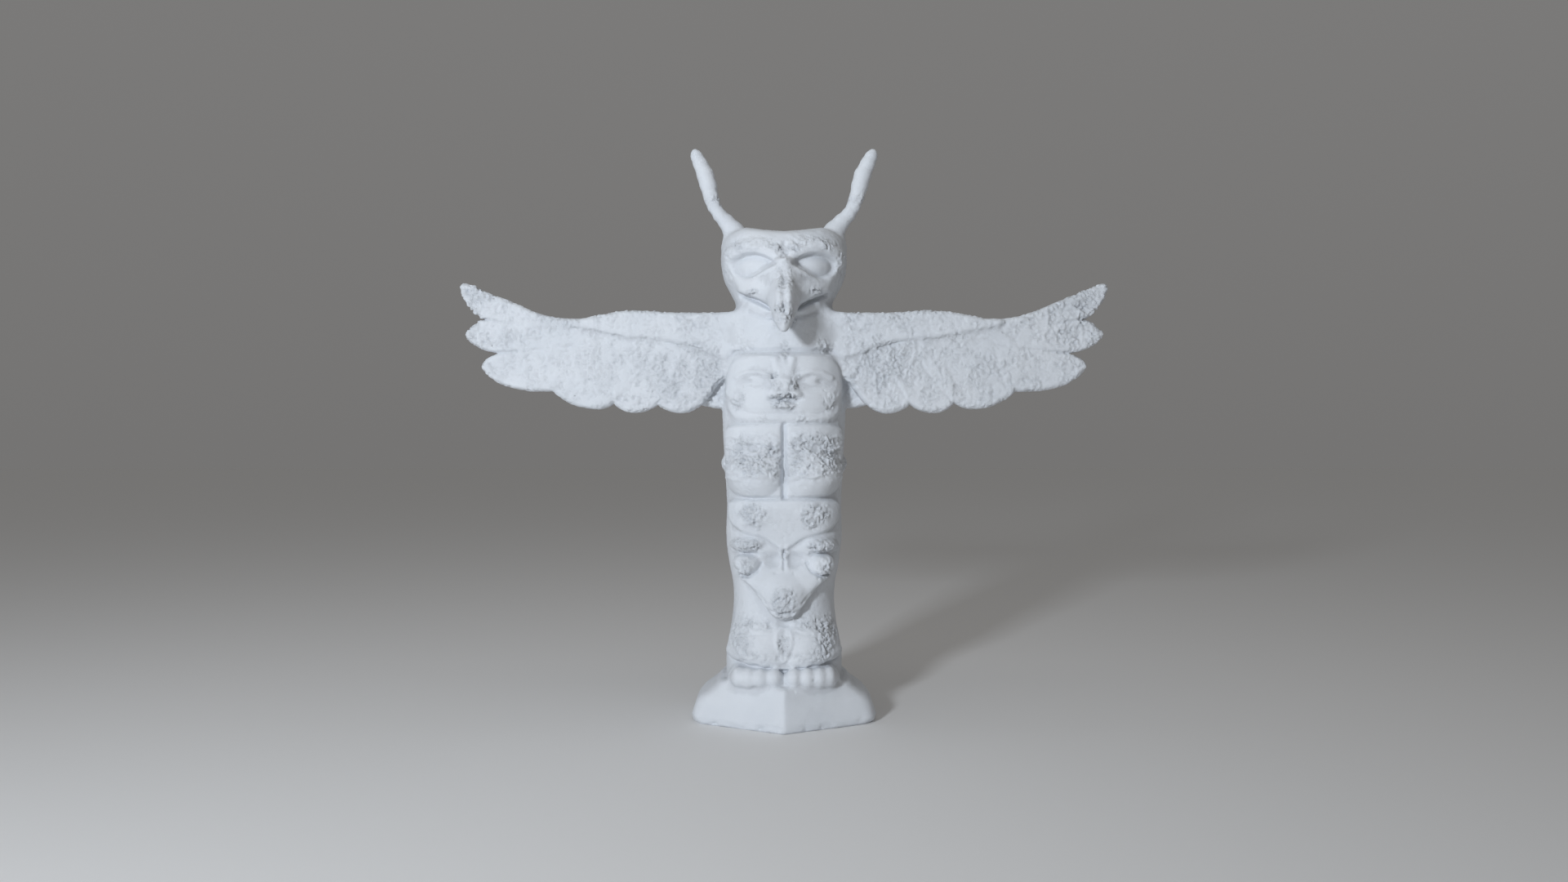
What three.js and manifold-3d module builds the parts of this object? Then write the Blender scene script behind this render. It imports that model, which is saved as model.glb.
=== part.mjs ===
// Winged totem pole, cast in one piece: on a rough block stand two legs with toes, then the
// face of a beast with a long snout, a pair of folded forelimbs under a round human-like face,
// and on top a horned bird of prey with a hooked beak and outspread wings.
// Millimetres, +Z up, the front towards -Y, and the origin under the middle of the block.

import * as THREE from "three";
import { mergeVertices } from "three/addons/utils/BufferGeometryUtils.js";
import Module from "manifold-3d";

const wasm = await Module();
wasm.setup();

// Driving sizes
const plinthWidth = 574;
const plinthDepth = 512;
const plinthHeight = 130;
const poleWidth = 366;
const poleDepth = 376;
const figureHeight = 1410; // from the block's top to the crown of the head
const hornRise = 261; // from the crown to the horns' tips
const hornSpread = 572; // between the horns' tips
const hornThickness = 46;
const wingSpan = 2050;
const wingDrop = 322; // from the shoulder line down to the lowest feather
const wingTipRise = 98; // from the shoulder line up to the top feather's tip
const wingRootThickness = 50;
const wingTipThickness = 26;
const beakReach = 135; // from the face to the front of the beak
const beakWidth = 178;
const toeLength = 66;

// The carving is laid out on a grid over the pole: x runs out from the middle to 70 at the
// widest, z runs up from the ground, with the block's top at 50 and the crown at 590, and
// depth is measured from the pole's axis, with 70 at the middle of the front.
const blockTop = 50;
const headTop = 566; // where the head's sides start to round over
const crownLift = 24;
const crown = headTop + crownLift;
const gridX = poleWidth / 140;
const gridDepth = poleDepth / 144;
const gridZ = figureHeight / (crown - blockTop);
const heightOf = (z) => plinthHeight + (z - blockTop) * gridZ;

// The plain pole at heights on the grid: half width, depth in front, depth behind.
const silhouette = [
  [44, 70, 70, 66],
  [62, 70, 69, 67],
  [74, 70, 71, 69],
  [92, 67.5, 71, 68],
  [118, 63, 67, 65],
  [142, 61, 66, 64],
  [165, 62.5, 68, 65],
  [188, 67, 70, 67],
  [212, 70, 71, 69],
  [262, 69.5, 71, 70],
  [292, 71.5, 72, 70],
  [322, 73, 72, 70],
  [352, 74.5, 72, 71],
  [385, 75, 73, 72],
  [412, 73, 72, 71],
  [437, 69, 69, 69],
  [462, 66, 67, 66],
  [484, 62, 64, 62],
  [500, 59, 63, 60],
  [511, 64, 66, 65],
  [523, 70.5, 70, 70],
  [538, 75, 73, 73],
  [556, 76.5, 74, 74],
  [566, 75.5, 73, 73],
  [576, 74, 70, 71],
];

// Catmull-Rom value of one column of the silhouette at height z.
function profile(z, column) {
  const last = silhouette.length - 1;
  let i = 0;
  while (i < last - 1 && silhouette[i + 1][0] < z) i++;
  const station = (k) => silhouette[THREE.MathUtils.clamp(k, 0, last)];
  const slope = (p, q) => (q[column] - p[column]) / (q[0] - p[0]);
  const [a, b] = [station(i), station(i + 1)];
  const span = b[0] - a[0];
  const t = THREE.MathUtils.clamp((z - a[0]) / span, 0, 1);
  const leaving = slope(station(i - 1), b) * span;
  const arriving = slope(a, station(i + 2)) * span;
  return (
    (2 * t ** 3 - 3 * t ** 2 + 1) * a[column] +
    (t ** 3 - 2 * t ** 2 + t) * leaving +
    (3 * t ** 2 - 2 * t ** 3) * b[column] +
    (t ** 3 - t ** 2) * arriving
  );
}

// Relief features. Each is a function of a place (x, z) on the grid, with x from 0 outwards on
// either side, and gives how far the front stands out there, in grid units of depth.

const ease = (t) => THREE.MathUtils.smoothstep(t, 0, 1);

// A rounded swelling or hollow. A ball has a steep rim, anything else fades out softly.
function dome({ x, z, halfWidth, halfHeight, rise, tilt = 0, ball = false }) {
  const turn = THREE.MathUtils.degToRad(tilt);
  return (px, pz) => {
    const across = (px - x) * Math.cos(turn) + (pz - z) * Math.sin(turn);
    const up = (pz - z) * Math.cos(turn) - (px - x) * Math.sin(turn);
    const left = 1 - (across / halfWidth) ** 2 - (up / halfHeight) ** 2;
    return left <= 0 ? 0 : rise * left ** (ball ? 0.5 : 1.5);
  };
}

function distanceTo([ax, az], [bx, bz], px, pz) {
  const along = ((px - ax) * (bx - ax) + (pz - az) * (bz - az)) / ((bx - ax) ** 2 + (bz - az) ** 2);
  const t = THREE.MathUtils.clamp(along, 0, 1);
  return Math.hypot(px - ax - t * (bx - ax), pz - az - t * (bz - az));
}

// A groove, or with a positive rise a ridge, along a path.
function stroke({ path, halfWidth, rise }) {
  return (px, pz) => {
    const distances = path.slice(1).map((end, i) => distanceTo(path[i], end, px, pz));
    return rise * ease(1 - Math.min(...distances) / halfWidth);
  };
}

// A field that is raised, or sunk, evenly inside an outline, with a sloping edge. An outline
// that starts and ends at x = 0 is closed across the middle of the pole.
function field({ outline, rise, edge }) {
  const acrossMiddle = outline[0][0] === 0;
  const mirrored = acrossMiddle ? outline.slice(1, -1).map(([x, z]) => [-x, z]).reverse() : [];
  const closed = [...outline, ...mirrored];
  return (px, pz) => {
    let inside = false;
    let distance = Infinity;
    closed.forEach((a, i) => {
      const b = closed[(i + 1) % closed.length];
      distance = Math.min(distance, distanceTo(a, b, px, pz));
      const spans = a[1] > pz !== b[1] > pz;
      if (spans && px < ((b[0] - a[0]) * (pz - a[1])) / (b[1] - a[1]) + a[0]) inside = !inside;
    });
    return rise * ease(0.5 + (inside ? distance : -distance) / edge);
  };
}

const birdFace = [
  // brow, eye socket and closed eye
  stroke({ path: [[64, 545], [58, 557], [40, 560], [22, 556], [7, 544]], halfWidth: 10, rise: 5 }),
  field({
    outline: [[8, 539], [18, 547], [32, 552], [48, 552], [57, 545], [57, 534], [50, 526], [38, 523],
      [26, 526], [16, 533]],
    rise: -8,
    edge: 5,
  }),
  dome({ x: 34, z: 537, halfWidth: 25, halfHeight: 14, rise: 7, tilt: 4 }),
  // cheek flaring from the beak, mouth, lower lip and chin fold
  field({
    outline: [[0, 543], [7, 541], [28, 522], [52, 509], [53, 502], [38, 499], [19, 489], [0, 486]],
    rise: 8,
    edge: 9,
  }),
  stroke({ path: [[54, 502], [43, 500], [30, 494], [18, 486]], halfWidth: 6, rise: -7 }),
  stroke({ path: [[50, 494], [38, 490], [24, 484], [0, 480]], halfWidth: 6, rise: 4 }),
  stroke({ path: [[44, 483], [28, 477], [0, 475]], halfWidth: 6, rise: -3 }),
];

const humanFace = [
  stroke({ path: [[60, 438], [0, 438]], halfWidth: 6, rise: -5 }),
  field({
    outline: [[0, 433], [48, 433], [62, 421], [64, 395], [60, 376], [53, 364], [42, 357], [0, 356]],
    rise: 6,
    edge: 8,
  }),
  dome({ x: 31, z: 401, halfWidth: 24, halfHeight: 13, rise: -5 }),
  stroke({ path: [[44, 412], [26, 415], [13, 409], [8, 398]], halfWidth: 6, rise: 3 }),
  dome({ x: 33, z: 402, halfWidth: 13, halfHeight: 8, rise: 5 }),
  // nose, the hollow under it, mouth and cheek
  stroke({ path: [[0, 424], [0, 392]], halfWidth: 10, rise: 7 }),
  dome({ x: 8, z: 389, halfWidth: 13, halfHeight: 9, rise: 8 }),
  stroke({ path: [[19, 382], [0, 382]], halfWidth: 4, rise: -5 }),
  dome({ x: 0, z: 375, halfWidth: 17, halfHeight: 7, rise: 5 }),
  stroke({ path: [[58, 384], [45, 371], [20, 367], [0, 366]], halfWidth: 5, rise: -2.5 }),
];

const foldedLimbs = [
  field({
    outline: [[0, 351], [58, 351], [64, 342], [64, 286], [60, 274], [50, 267], [0, 266]],
    rise: 5,
    edge: 6,
  }),
  dome({ x: 34, z: 284, halfWidth: 36, halfHeight: 22, rise: 5 }),
  dome({ x: 34, z: 334, halfWidth: 30, halfHeight: 20, rise: 2 }),
  stroke({ path: [[0, 350], [0, 268]], halfWidth: 7, rise: -8 }),
];

const beastFace = [
  // the forehead comes down to a point between the brows
  field({
    outline: [[0, 262], [60, 262], [66, 250], [63, 236], [50, 228], [33, 219], [15, 209], [0, 204]],
    rise: 5,
    edge: 6,
  }),
  dome({ x: 36, z: 245, halfWidth: 26, halfHeight: 18, rise: 3 }),
  // brow, eyeball, the valley beside the nose, and the nose
  dome({ x: 45, z: 210, halfWidth: 21, halfHeight: 8, rise: 5, tilt: -12 }),
  dome({ x: 46, z: 189, halfWidth: 15, halfHeight: 13, rise: 9, ball: true }),
  dome({ x: 0, z: 190, halfWidth: 34, halfHeight: 12, rise: -3 }),
  stroke({ path: [[0, 203], [0, 188]], halfWidth: 6, rise: -3 }),
  // snout, cut off below in a blunt point that overhangs the legs
  field({
    outline: [[0, 185], [28, 185], [42, 181], [58, 177], [49, 170], [41, 162], [29, 151], [21, 139],
      [12, 129], [0, 126]],
    rise: 9,
    edge: 7,
  }),
  dome({ x: 0, z: 150, halfWidth: 26, halfHeight: 26, rise: 8 }),
  stroke({ path: [[22, 139], [0, 137]], halfWidth: 4, rise: -3 }),
];

const legs = [
  dome({ x: 38, z: 97, halfWidth: 34, halfHeight: 36, rise: 6 }),
  stroke({ path: [[0, 124], [0, 76]], halfWidth: 14, rise: -7 }),
  field({ outline: [[0, 122], [9, 118], [10, 100], [5, 76], [0, 73]], rise: 5, edge: 4 }),
  // trouser-like cuff, and the foot under it
  field({ outline: [[0, 128], [76, 128], [76, 79], [56, 76], [20, 74], [0, 70]], rise: 4, edge: 6 }),
  field({ outline: [[3, 73], [58, 73], [60, 50], [3, 50]], rise: 6, edge: 5 }),
];

const features = [...birdFace, ...humanFace, ...foldedLimbs, ...beastFace, ...legs];
const relief = (x, z) => features.reduce((sum, feature) => sum + feature(Math.abs(x), z), 0);

// Turns rings of as many points each, and a closing point at either end, into a closed
// surface. Seen from the end that they climb to, the rings run counter-clockwise.
function skin(rings, firstEnd, lastEnd) {
  const points = [firstEnd, ...rings.flat(), lastEnd];
  const columns = rings[0].length;
  const at = (ring, column) => 1 + ring * columns + (column % columns);
  const triangles = [];
  for (let column = 0; column < columns; column++) {
    triangles.push(0, at(0, column + 1), at(0, column));
    triangles.push(points.length - 1, at(rings.length - 1, column), at(rings.length - 1, column + 1));
  }
  for (let ring = 0; ring + 1 < rings.length; ring++)
    for (let column = 0; column < columns; column++) {
      const [a, b] = [at(ring, column), at(ring, column + 1)];
      const [c, d] = [at(ring + 1, column + 1), at(ring + 1, column)];
      const risingIsShorter = points[a].distanceTo(points[c]) < points[b].distanceTo(points[d]);
      if (risingIsShorter) triangles.push(a, b, c, a, c, d);
      else triangles.push(a, b, d, b, c, d);
    }
  return new THREE.BufferGeometry().setFromPoints(points).setIndex(triangles);
}

// Points of the pole's outline at one height: a share of the half width, and front or back.
const frontShares = [0, 0.06, 0.12, 0.2, 0.29, 0.39, 0.49, 0.59, 0.68, 0.77, 0.85, 0.92, 0.97, 1];
const backShares = [0.94, 0.76, 0.46];
const rightHalf = [...frontShares.map((share) => [share, 1]), ...backShares.map((share) => [share, -1])];
const leftHalf = rightHalf.slice(1).reverse().map(([share, side]) => [-share, side]);
const poleColumns = [...rightHalf, [0, -1], ...leftHalf];
const sectionPower = 2.35; // a little squarer than an ellipse
const carvedShare = 0.88; // the carving fades out from here to the side

// The pole's outline at a height on the grid, in grid units.
function outlineAt(z) {
  return poleColumns.map(([share, side]) => {
    const depth = profile(z, side > 0 ? 2 : 3);
    const plain = new THREE.Vector2(
      share * profile(z, 1),
      side * depth * (1 - Math.abs(share) ** sectionPower) ** (1 / sectionPower),
    );
    if (side < 0) return plain;
    const carving = relief(share * 70, z) * ease((1 - Math.abs(share)) / (1 - carvedShare));
    return plain.setLength(plain.length() + carving);
  });
}

// How close the rings lie, by the height on the grid that each stretch reaches to.
const ringSteps = [[78, 5.5], [128, 9], [262, 5.7], [350, 12], [437, 6], [474, 12], [headTop, 5.2]];
const crownDip = 4.5; // how far the middle of the crown lies below its corners

function pole() {
  const place = (point, z) => new THREE.Vector3(point.x * gridX, -point.y * gridDepth, heightOf(z));
  const rings = [];
  let z = blockTop - 6;
  for (const [reach, step] of ringSteps)
    for (; z < reach; z += step) rings.push(outlineAt(z).map((point) => place(point, z)));
  z = headTop;
  // the crown: the last outline shrinks and lifts until it closes over the head
  for (const angle of [22, 42, 60, 76]) {
    const shrink = Math.cos(THREE.MathUtils.degToRad(angle));
    const lift = Math.sin(THREE.MathUtils.degToRad(angle));
    const ring = outlineAt(z).map((point) => {
      const toCorner = Math.min(Math.abs(point.x * shrink) / 62, 1);
      const dip = crownDip * (1 - toCorner ** 2);
      return place(point.clone().multiplyScalar(shrink), z + (crownLift - dip) * lift);
    });
    rings.push(ring);
  }
  const top = new THREE.Vector3(0, 0, heightOf(z + crownLift - crownDip));
  return skin(rings, new THREE.Vector3(0, 0, heightOf(blockTop - 6)), top);
}

// The beak: level slices of a wedge that comes forward, then hooks down clear of the chest.
// Each is a height, a back face, a share of the reach, and a share of the width.
const beakSlices = [
  [548, 50, -0.12, 0.12],
  [541, 50, 0.1, 0.26],
  [528, 50, 0.34, 0.5],
  [515, 50, 0.58, 0.8],
  [505, 50, 0.76, 1],
  [497, 50, 0.87, 0.9],
  [489, 56, 0.95, 0.56],
  [480, 76, 1, 0.42],
  [470, 92, 1, 0.31],
  [461, 104, 0.96, 0.18],
];
const beakTipDrop = 5;
const faceDepth = 76;
const beakSides = 14;
const wedgePower = 1.35; // above 1 the section comes to an edge in front

function beak() {
  const slices = [...beakSlices].reverse().map(([z, back, reach, width]) => {
    const front = faceDepth * gridDepth + reach * beakReach;
    const middle = new THREE.Vector3(0, -(front + back * gridDepth) / 2, heightOf(z));
    const halfDepth = (front - back * gridDepth) / 2;
    const halfWidth = (width * beakWidth) / 2;
    return { middle, halfDepth, halfWidth };
  });
  const wedge = (value) => Math.sign(value) * Math.abs(value) ** wedgePower;
  const rings = slices.map(({ middle, halfDepth, halfWidth }) =>
    Array.from({ length: beakSides }, (_, i) => {
      const turn = (2 * Math.PI * i) / beakSides;
      const point = new THREE.Vector3(wedge(Math.cos(turn)) * halfWidth, wedge(Math.sin(turn)) * halfDepth, 0);
      return point.add(middle);
    }),
  );
  const tip = slices[0].middle.clone().setZ(heightOf(beakSlices.at(-1)[0] - beakTipDrop));
  const root = slices.at(-1).middle.clone().setZ(heightOf(beakSlices[0][0] + 2));
  return skin(rings, tip, root);
}

// A horn: round sections along a path that leaves the head's corner at a slant and turns up.
// Each is a share of the way out from the corner, a share of the rise from the crown, and a
// share of the thickness.
const hornPath = [
  [0, -0.14, 1.5],
  [0.26, 0.06, 1.1],
  [0.47, 0.19, 0.86],
  [0.61, 0.31, 0.8],
  [0.67, 0.44, 0.92],
  [0.72, 0.56, 1.02],
  [0.78, 0.69, 1.06],
  [0.86, 0.81, 0.96],
  [0.93, 0.91, 0.76],
  [0.98, 0.97, 0.46],
];
const hornCorner = 52; // where a horn's middle leaves the head, across and forward
const hornForward = 3;
const hornSides = 8;

function horn(side) {
  const cornerX = hornCorner * gridX;
  const place = (out, up) =>
    new THREE.Vector3(
      side * THREE.MathUtils.lerp(cornerX, hornSpread / 2, out),
      -hornForward * gridDepth,
      heightOf(crown) + up * hornRise,
    );
  const middles = hornPath.map(([out, up]) => place(out, up));
  const rings = middles.map((middle, i) => {
    const ahead = middles[Math.min(i + 1, middles.length - 1)];
    const along = ahead.clone().sub(middles[Math.max(i - 1, 0)]).normalize();
    const across = new THREE.Vector3(along.z, 0, -along.x);
    const radius = (hornThickness / 2) * hornPath[i][2];
    return Array.from({ length: hornSides }, (_, k) => {
      const turn = (2 * Math.PI * k) / hornSides;
      const point = middle.clone().addScaledVector(across, radius * Math.cos(turn));
      return point.setY(point.y + radius * Math.sin(turn));
    });
  });
  return skin(rings, middles[0], place(1, 1));
}

// A wing is made of feathers that overlap like shingles, under the thick band of the arm, with
// a web behind them that fills the armpit.
// Outlines run on the wing's own grid: out from 60 at the root to 392.5 at the outermost tip,
// and up from 365 at the lowest feather, past 488 at the shoulder, to 525 at the top tip.
const armBand = [[46, 489], [62, 487], [84, 486], [127, 486], [168, 489.5], [199, 488.5], [220, 484],
  [246, 479.5], [266, 480], [262, 471], [228, 466], [204, 459], [180, 455], [150, 453], [127, 449],
  [104, 442], [84, 433], [72, 430], [62, 434], [46, 446]];
const web = [[46, 482], [200, 482], [262, 474], [330, 468], [320, 430], [290, 404], [262, 390], [200, 388],
  [110, 380], [88, 372], [46, 372]];
const primaries = [
  [[212, 452], [280, 448], [349, 439.5], [363, 429.5], [367.5, 423.5], [361, 414], [350, 406], [335, 398],
    [312, 393.5], [276, 392], [220, 396]],
  [[220, 472], [280, 476], [330, 478], [366, 481], [377, 473], [387, 463.5], [385, 457], [374, 447.5],
    [349, 438], [300, 436], [230, 440]],
  [[210, 476], [246, 479], [266, 480.5], [296, 486], [328, 501], [360, 513], [376, 521], [388, 525],
    [392.5, 521], [391, 512], [385, 499], [375, 488], [365, 480], [320, 468], [250, 464]],
];
const secondaries = [
  [[150, 446], [170, 462], [240, 476], [280, 458], [293, 424], [280, 393], [268, 383.5], [252, 375],
    [234, 371], [218, 371.5], [203, 378], [172, 410]],
  [[112, 440], [150, 460], [176, 456], [198, 424], [207, 395], [206, 379], [195, 369.5], [182, 366],
    [166, 368], [151, 375], [126, 404]],
  [[46, 446], [110, 452], [138, 430], [153, 395], [153, 376], [138, 368], [121, 365], [104, 371], [89, 386],
    [77, 404], [64, 410], [46, 412]],
];
const wingRoot = 60;
const wingEnd = 392.5;
const shoulder = 488;
const topTip = 525;
const lowestFeather = 365;
const wingRootForward = 32; // how far the wing's middle lies in front of the pole's axis
const wingTipForward = 12;
const featherStep = 4; // how much thicker each feather is than the one that it overlaps
const bandStep = 12; // how much thicker the arm is than the innermost feather
const rimRounding = 9;

function wingPlace([out, up], side) {
  const rootX = wingRoot * gridX;
  const x = rootX + ((out - wingRoot) * (wingSpan / 2 - rootX)) / (wingEnd - wingRoot);
  const perUnit = up > shoulder ? wingTipRise / (topTip - shoulder) : wingDrop / (shoulder - lowestFeather);
  return new THREE.Vector2(side * x, heightOf(shoulder) + (up - shoulder) * perUnit);
}

// One feather: its outline extruded with a rounded rim, and thinner towards the wing's tip.
function feather(outline, side, extra) {
  const shape = new THREE.Shape(outline.map((point) => wingPlace(point, side)));
  const geometry = new THREE.ExtrudeGeometry(shape, {
    depth: 0.5,
    bevelThickness: 0.25,
    bevelSize: rimRounding,
    bevelOffset: -rimRounding,
    bevelSegments: 1,
  });
  geometry.translate(0, 0, -0.25);
  const position = geometry.getAttribute("position");
  for (let i = 0; i < position.count; i++) {
    const [x, z] = [position.getX(i), position.getY(i)];
    const share = Math.min(Math.abs(x) / (wingSpan / 2), 1);
    const thickness = THREE.MathUtils.lerp(wingRootThickness, wingTipThickness, share) + extra;
    const forward = THREE.MathUtils.lerp(wingRootForward, wingTipForward, share) * gridDepth;
    position.setXYZ(i, x, -forward - position.getZ(i) * thickness, z);
  }
  return geometry;
}

function wing(side) {
  const feathers = [web, ...primaries, ...secondaries];
  const shingles = feathers.map((outline, i) => feather(outline, side, i * featherStep));
  return [...shingles, feather(armBand, side, (feathers.length - 1) * featherStep + bandStep)];
}

// The block: a rough slab whose front comes to an upright ridge, under a mound that carries
// the pole. Its plan is in shares of half the width and half the depth, and each level is a
// share of the height and how much of the width and depth is left there.
const planHalf = [[0, 1.03], [0.42, 0.86], [0.78, 0.6], [0.95, 0.27], [1, -0.1], [0.94, -0.48], [0.72, -0.8],
  [0.38, -0.95], [0, -0.97]];
const blockLevels = [[0, 0.965, 0.975], [0.1, 1, 1], [0.4, 0.96, 1], [0.54, 0.93, 0.99], [0.66, 0.87, 0.98],
  [0.78, 0.78, 0.97], [0.9, 0.735, 0.95], [1, 0.69, 0.91]];

function block() {
  const plan = [...planHalf, ...planHalf.slice(1, -1).reverse().map(([x, y]) => [-x, y])];
  const rings = blockLevels.map(([height, wide, deep]) =>
    plan.map(
      ([x, y]) =>
        new THREE.Vector3((x * wide * plinthWidth) / 2, (-y * deep * plinthDepth) / 2, height * plinthHeight),
    ),
  );
  return skin(rings, new THREE.Vector3(), new THREE.Vector3(0, 0, plinthHeight));
}

// Toes, from the big one outwards: place, half width, and how far forward the middle is.
const toes = [[12, 9, 76], [27.5, 7.8, 75], [41, 7.2, 71], [52.5, 6.2, 64]];
const toeTop = 72.5;
const toeBottom = 46;

function toe([x, halfWidth, forward], side) {
  const ball = new THREE.SphereGeometry(1, 8, 6);
  ball.rotateX(Math.PI / 2);
  ball.scale(halfWidth * gridX, toeLength / 2, ((toeTop - toeBottom) / 2) * gridZ);
  ball.translate(side * x * gridX, -forward * gridDepth, heightOf((toeTop + toeBottom) / 2));
  return ball;
}

// The instep: a low mound that fills the gap between the toes, the leg and the block.
const instepMiddle = 31;
const instepHalfWidth = 35;
const instepForward = 46;
const instepHalfLength = 30;
const instepTop = 66;
const instepBottom = 36;

function instep(side) {
  const mound = new THREE.SphereGeometry(1, 12, 8);
  mound.rotateX(Math.PI / 2);
  const halfHeight = ((instepTop - instepBottom) / 2) * gridZ;
  mound.scale(instepHalfWidth * gridX, instepHalfLength * gridDepth, halfHeight);
  const middle = heightOf((instepTop + instepBottom) / 2);
  mound.translate(side * instepMiddle * gridX, -instepForward * gridDepth, middle);
  return mound;
}

// Joins closed geometries into one.
function solidOf(geometry) {
  const bare = new THREE.BufferGeometry().setIndex(geometry.getIndex());
  bare.setAttribute("position", geometry.getAttribute("position"));
  const merged = mergeVertices(bare, 1e-3);
  const vertProperties = merged.getAttribute("position").array;
  const triVerts = new Uint32Array(merged.getIndex().array);
  return new wasm.Manifold(new wasm.Mesh({ numProp: 3, vertProperties, triVerts }));
}

function joined(geometries) {
  const { vertProperties, triVerts } = geometries
    .map(solidOf)
    .reduce((whole, solid) => whole.add(solid))
    .getMesh();
  const geometry = new THREE.BufferGeometry();
  geometry.setAttribute("position", new THREE.BufferAttribute(vertProperties, 3));
  geometry.setIndex(new THREE.BufferAttribute(triVerts, 1));
  geometry.computeVertexNormals();
  return geometry;
}

const onBothSides = (make) => [make(1), make(-1)].flat();

const whitePlaster = new THREE.MeshStandardMaterial({ color: "#dde2ea", roughness: 0.9, metalness: 0 });
const totemPole = new THREE.Mesh(
  joined([
    block(),
    pole(),
    beak(),
    ...onBothSides(horn),
    ...onBothSides(wing),
    ...onBothSides((side) => toes.map((place) => toe(place, side))),
    ...onBothSides(instep),
  ]),
  whitePlaster,
);
totemPole.name = "totem_pole";

const model = new THREE.Group();
model.add(totemPole);
export default model;
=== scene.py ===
"""The looks of the winged totem pole: one piece cast in rough white plaster stone.

The whole cast is one surface. It is found as the place where a signed distance is nought, the
distance being a soft union of the pole, the beak, the horns, the feathers, the block and the
toes. The surface is then roughened where the cast is rough and thinned to few triangles.

Lengths are in units of the carving's own grid, as in the CAD source: x runs out from the
middle to 70 at the pole's side, z runs up from the ground with the block's top at 50, the
crown at 590 and the horns' tips at 690, and y runs back from the pole's axis.
"""

import math

import bpy
import numpy as np
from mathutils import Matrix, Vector


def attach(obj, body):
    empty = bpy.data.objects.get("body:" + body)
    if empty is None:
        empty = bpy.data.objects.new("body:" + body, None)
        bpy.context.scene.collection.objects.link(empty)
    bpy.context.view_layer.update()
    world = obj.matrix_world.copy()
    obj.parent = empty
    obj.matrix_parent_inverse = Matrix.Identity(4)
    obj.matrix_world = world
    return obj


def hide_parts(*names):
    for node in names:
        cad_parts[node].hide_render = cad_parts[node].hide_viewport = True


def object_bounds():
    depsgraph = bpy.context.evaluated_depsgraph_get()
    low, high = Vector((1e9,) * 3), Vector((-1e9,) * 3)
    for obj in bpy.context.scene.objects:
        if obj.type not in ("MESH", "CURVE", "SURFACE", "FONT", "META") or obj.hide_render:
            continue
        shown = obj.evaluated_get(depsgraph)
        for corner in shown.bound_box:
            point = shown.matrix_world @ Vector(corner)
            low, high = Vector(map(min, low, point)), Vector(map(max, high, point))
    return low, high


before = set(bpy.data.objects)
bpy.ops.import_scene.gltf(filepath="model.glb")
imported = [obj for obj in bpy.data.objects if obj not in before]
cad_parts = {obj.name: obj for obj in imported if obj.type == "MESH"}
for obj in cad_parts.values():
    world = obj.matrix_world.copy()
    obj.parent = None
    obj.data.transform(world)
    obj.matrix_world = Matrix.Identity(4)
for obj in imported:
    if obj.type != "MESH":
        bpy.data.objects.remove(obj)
cad_low, cad_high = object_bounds()

HORN_TIP = 690
UNIT = cad_high.z / HORN_TIP  # metres to a unit

# How fine the surface is
COARSE_CELL = 4.0
FINE_CELL = 1.15
MOST_TRIANGLES = 194_000
NEAR_SURFACE = 1.7  # in coarse cells, how far from the surface the fine cells reach
MOST_AT_ONCE = 400_000  # places worked out together, to save memory
LOWEST_CELLS = 1.5  # in coarse cells, how far below the ground the grid starts
BOX_MARGIN = 0.05

# Numbers that keep the arithmetic safe
TINY = 1e-3  # keeps a division from being by nought
LEAST_LENGTH = 1e-9  # the same for the length of a normal
SHORT_OF_END = 1.001  # keeps a place just short of a grid's last line
CAUTION = 0.8  # keeps a stretched distance from being larger than the true one
FAR_AWAY = 1e3  # where the search for the nearest form begins

# The pole and the head
BLOCK_TOP = 50
HEAD_TOP = 566
CROWN_LIFT = 27
CROWN_DIP = 9.5
CROWN_CORNER = 46
CROWN_POWER = 2.7
SECTION_POWER = 2.35
RELIEF_SIDE = 70  # where the relief's own x reaches the pole's side
CARVED_SHARE = 0.88
POLE_SUNK = 10  # how far the pole reaches into the block
SIDE_BUMP = ((70, -12, 306), (6, 13, 9))  # middle and halves of the stub at each side

# Half width, depth in front and depth behind, at heights
SILHOUETTE = np.array([
    (44, 70, 70, 66), (62, 70, 69, 67), (74, 70, 71, 69), (92, 67.5, 71, 68),
    (118, 63, 67, 65), (142, 61, 66, 64), (165, 62.5, 68, 65), (188, 67, 70, 67),
    (212, 70, 71, 69), (262, 69.5, 71, 70), (292, 71.5, 72, 70), (322, 73, 72, 70),
    (352, 74.5, 72, 71), (385, 75, 73, 72), (412, 73, 72, 71), (437, 69, 69, 69),
    (462, 66, 67, 66), (484, 62, 64, 62), (500, 59, 63, 60), (511, 64, 66, 65),
    (523, 70.5, 70, 70), (538, 75, 73, 73), (556, 76.5, 74, 74), (566, 75.5, 73, 73),
    (576, 74, 70, 71),
])

# The beak's hook: height, front, back and half width
BEAK = np.array([
    (457.5, 124, 112, 5), (461, 126, 106, 8), (466, 127.5, 99, 10.5), (470, 128, 92, 12),
    (480, 127, 76, 15), (489, 123, 56, 18.5), (497, 119, 50, 20), (505, 113, 50, 19),
    (515, 104, 50, 17), (528, 93, 50, 15), (538, 83, 50, 12), (546, 73, 50, 7),
])
BEAK_POWER = 1.5
BEAK_TIP_ROUND = 3
# Its back: two ridges with a groove between them, where these begin and end, and a pit near the tip
RIDGE_ASIDE = 8
RIDGE_WIDTH = 4
RIDGE_RISE = 3.2
GROOVE_WIDTH = 3.4
GROOVE_DEPTH = 3.4
RIDGE_TOP = (544, 536)
RIDGE_END = (470, 478)
PIT_HEIGHT = 478
PIT_HALF_WIDTH = 2.6
PIT_HALF_HEIGHT = 4.5
PIT_DEPTH = 3.5
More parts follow.
